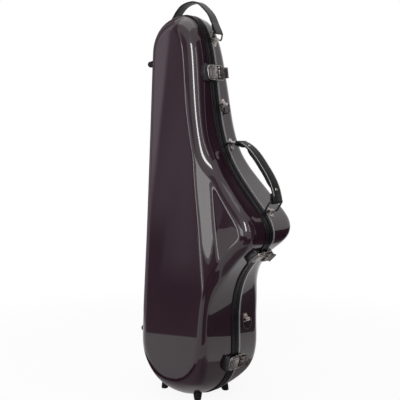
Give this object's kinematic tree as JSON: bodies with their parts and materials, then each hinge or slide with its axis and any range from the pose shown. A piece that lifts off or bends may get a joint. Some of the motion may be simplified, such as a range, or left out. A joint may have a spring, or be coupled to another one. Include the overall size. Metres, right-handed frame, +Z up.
{
  "type": "tenor saxophone case",
  "caption": "Contoured hard case for a tenor saxophone: two moulded gloss shells hinged along the spine, draw latches, padded side handle, top strap, strap rings and rubber feet.",
  "frame": {"origin": "centre of the case's footprint, on the floor under its bottom feet", "axes": "+Z up along the case's height, -Y towards the lid's face, +X towards the bell side, the hinged spine at -X"},
  "size_m": [0.3312, 0.1924, 0.8678],
  "materials": {
    "shell": "glossy dark aubergine composite shell",
    "trim": "black satin edge trim",
    "lining": "dark plush over foam",
    "hinge": "black painted steel hinge leaves",
    "pin": "steel hinge pin",
    "latch": "dark nickel stamped steel",
    "keeper": "black painted die-cast keeper",
    "bracket": "dark nickel saddles with rivets",
    "strap_ring": "dark nickel wire rings",
    "handle_ring": "black wire rings",
    "strap": "black leather straps",
    "pad": "black padded grip",
    "top_ring": "bright wire rings",
    "foot": "black rubber feet"
  },
  "bodies": {
    "base": {"back_shell": "shell", "back_rim_trim": "trim", "rim_seal": "trim", "base_lining": "lining", "hinge_back_leaf_upper": "hinge", "hinge_pin_upper": "pin", "hinge_back_leaf_middle": "hinge", "hinge_pin_middle": "pin", "hinge_back_leaf_lower": "hinge", "hinge_pin_lower": "pin", "latch_base_upper": "latch", "latch_pin_upper": "latch", "latch_base_middle": "latch", "latch_pin_middle": "latch", "latch_base_lower": "latch", "latch_pin_lower": "latch", "strap_bracket_left_upper": "bracket", "strap_bracket_left_lower": "bracket", "strap_bracket_right_upper": "bracket", "strap_bracket_right_lower": "bracket", "handle_bracket_upper": "bracket", "handle_bracket_lower": "bracket", "top_bracket_left": "bracket", "top_bracket_right": "bracket", "foot_back_left": "foot", "foot_back_right": "foot", "side_foot_back_upper": "foot", "side_foot_back_lower": "foot"},
    "lid": {"lid_shell": "shell", "lid_lining": "lining", "lid_rim_trim": "trim", "hinge_lid_leaf_upper": "hinge", "hinge_lid_leaf_middle": "hinge", "hinge_lid_leaf_lower": "hinge", "latch_keeper_upper": "keeper", "latch_keeper_middle": "keeper", "latch_keeper_lower": "keeper", "foot_front_left": "foot", "foot_front_right": "foot", "side_foot_lid_upper": "foot", "side_foot_lid_lower": "foot"},
    "latch_lever_upper": {"latch_lever_upper": "latch"},
    "latch_bail_upper": {"latch_bail_upper": "latch"},
    "latch_lever_middle": {"latch_lever_middle": "latch"},
    "latch_bail_middle": {"latch_bail_middle": "latch"},
    "latch_lever_lower": {"latch_lever_lower": "latch"},
    "latch_bail_lower": {"latch_bail_lower": "latch"},
    "handle_ring_upper": {"handle_ring_upper": "handle_ring"},
    "handle_grip": {"handle_strap": "strap", "handle_pad": "pad"},
    "handle_ring_lower": {"handle_ring_lower": "handle_ring"},
    "top_ring_left": {"top_ring_left": "top_ring"},
    "top_strap": {"top_strap": "strap"},
    "top_ring_right": {"top_ring_right": "top_ring"},
    "strap_ring_left_upper": {"strap_ring_left_upper": "strap_ring"},
    "strap_ring_left_lower": {"strap_ring_left_lower": "strap_ring"},
    "strap_ring_right_upper": {"strap_ring_right_upper": "strap_ring"},
    "strap_ring_right_lower": {"strap_ring_right_lower": "strap_ring"}
  },
  "joints": [
    {"name": "lid_hinge", "type": "hinge", "parent": "base", "child": "lid", "pos_m": [-0.15233, 0.00517, 0.46894], "axis": [0, 0, -1], "range_deg": [0, 110]},
    {"name": "latch_lever_upper_turn", "type": "hinge", "parent": "base", "child": "latch_lever_upper", "pos_m": [0.01079, 0.01867, 0.70726], "axis": [0.1466, 0, -0.9892], "range_deg": [0, 140]},
    {"name": "latch_bail_upper_turn", "type": "hinge", "parent": "latch_lever_upper", "child": "latch_bail_upper", "pos_m": [0.0098, 0.02967, 0.70712], "axis": [0.1466, 0, -0.9892], "range_deg": [-161, 0]},
    {"name": "latch_lever_middle_turn", "type": "hinge", "parent": "base", "child": "latch_lever_middle", "pos_m": [0.14091, 0.01867, 0.32585], "axis": [-0.7499, 0, -0.6615], "range_deg": [0, 140]},
    {"name": "latch_bail_middle_turn", "type": "hinge", "parent": "latch_lever_middle", "child": "latch_bail_middle", "pos_m": [0.14025, 0.02967, 0.3266], "axis": [-0.7499, 0, -0.6615], "range_deg": [-161, 0]},
    {"name": "latch_lever_lower_turn", "type": "hinge", "parent": "base", "child": "latch_lever_lower", "pos_m": [0.07453, 0.01867, 0.09016], "axis": [-0.2499, 0, -0.9683], "range_deg": [0, 140]},
    {"name": "latch_bail_lower_turn", "type": "hinge", "parent": "latch_lever_lower", "child": "latch_bail_lower", "pos_m": [0.07356, 0.02967, 0.09041], "axis": [-0.2499, 0, -0.9683], "range_deg": [-161, 0]},
    {"name": "handle_ring_upper_swing", "type": "hinge", "parent": "base", "child": "handle_ring_upper", "pos_m": [0.03944, 0.02925, 0.55746], "axis": [0, -1, 0], "range_deg": [-7.5, 7.5]},
    {"name": "handle_grip_turn", "type": "hinge", "parent": "handle_ring_upper", "child": "handle_grip", "pos_m": [0.06443, 0.02925, 0.55704], "axis": [0, -1, 0], "range_deg": [-8.8, 8.8]},
    {"name": "handle_ring_lower_swing", "type": "hinge", "parent": "base", "child": "handle_ring_lower", "pos_m": [0.14721, 0.02925, 0.41976], "axis": [0, -1, 0], "range_deg": [-6.1, 6.1]},
    {"name": "top_ring_left_swing", "type": "hinge", "parent": "base", "child": "top_ring_left", "pos_m": [-0.15188, 0.02376, 0.77815], "axis": [0, -1, 0], "range_deg": [-10, 20]},
    {"name": "top_strap_turn", "type": "hinge", "parent": "top_ring_left", "child": "top_strap", "pos_m": [-0.14801, 0.02376, 0.79367], "axis": [0, -1, 0], "range_deg": [-20.5, 10.5]},
    {"name": "top_ring_right_swing", "type": "hinge", "parent": "base", "child": "top_ring_right", "pos_m": [-0.00393, 0.02376, 0.77874], "axis": [0, -1, 0], "range_deg": [-10.5, 20.5]},
    {"name": "strap_ring_left_upper_swing", "type": "hinge", "parent": "base", "child": "strap_ring_left_upper", "pos_m": [-0.15053, 0.02813, 0.63778], "axis": [0, 1, 0], "range_deg": [0, 150]},
    {"name": "strap_ring_left_lower_swing", "type": "hinge", "parent": "base", "child": "strap_ring_left_lower", "pos_m": [-0.15053, 0.03884, 0.1795], "axis": [0, 1, 0], "range_deg": [0, 150]},
    {"name": "strap_ring_right_upper_swing", "type": "hinge", "parent": "base", "child": "strap_ring_right_upper", "pos_m": [0.0175, 0.02812, 0.64091], "axis": [0, -1, 0], "range_deg": [0, 150]},
    {"name": "strap_ring_right_lower_swing", "type": "hinge", "parent": "base", "child": "strap_ring_right_lower", "pos_m": [0.07535, 0.03884, 0.179], "axis": [0, -1, 0], "range_deg": [0, 150]}
  ],
  "couplings": [
    {"joint": "latch_bail_upper_turn", "follows": "latch_lever_upper_turn", "ratio": -1.15},
    {"joint": "latch_bail_middle_turn", "follows": "latch_lever_middle_turn", "ratio": -1.15},
    {"joint": "latch_bail_lower_turn", "follows": "latch_lever_lower_turn", "ratio": -1.15},
    {"joint": "handle_grip_turn", "follows": "handle_ring_upper_swing", "ratio": -1.145},
    {"joint": "handle_ring_lower_swing", "follows": "handle_ring_upper_swing", "ratio": 0.795},
    {"joint": "top_strap_turn", "follows": "top_ring_left_swing", "ratio": -1},
    {"joint": "top_ring_right_swing", "follows": "top_ring_left_swing", "ratio": 1}
  ]
}
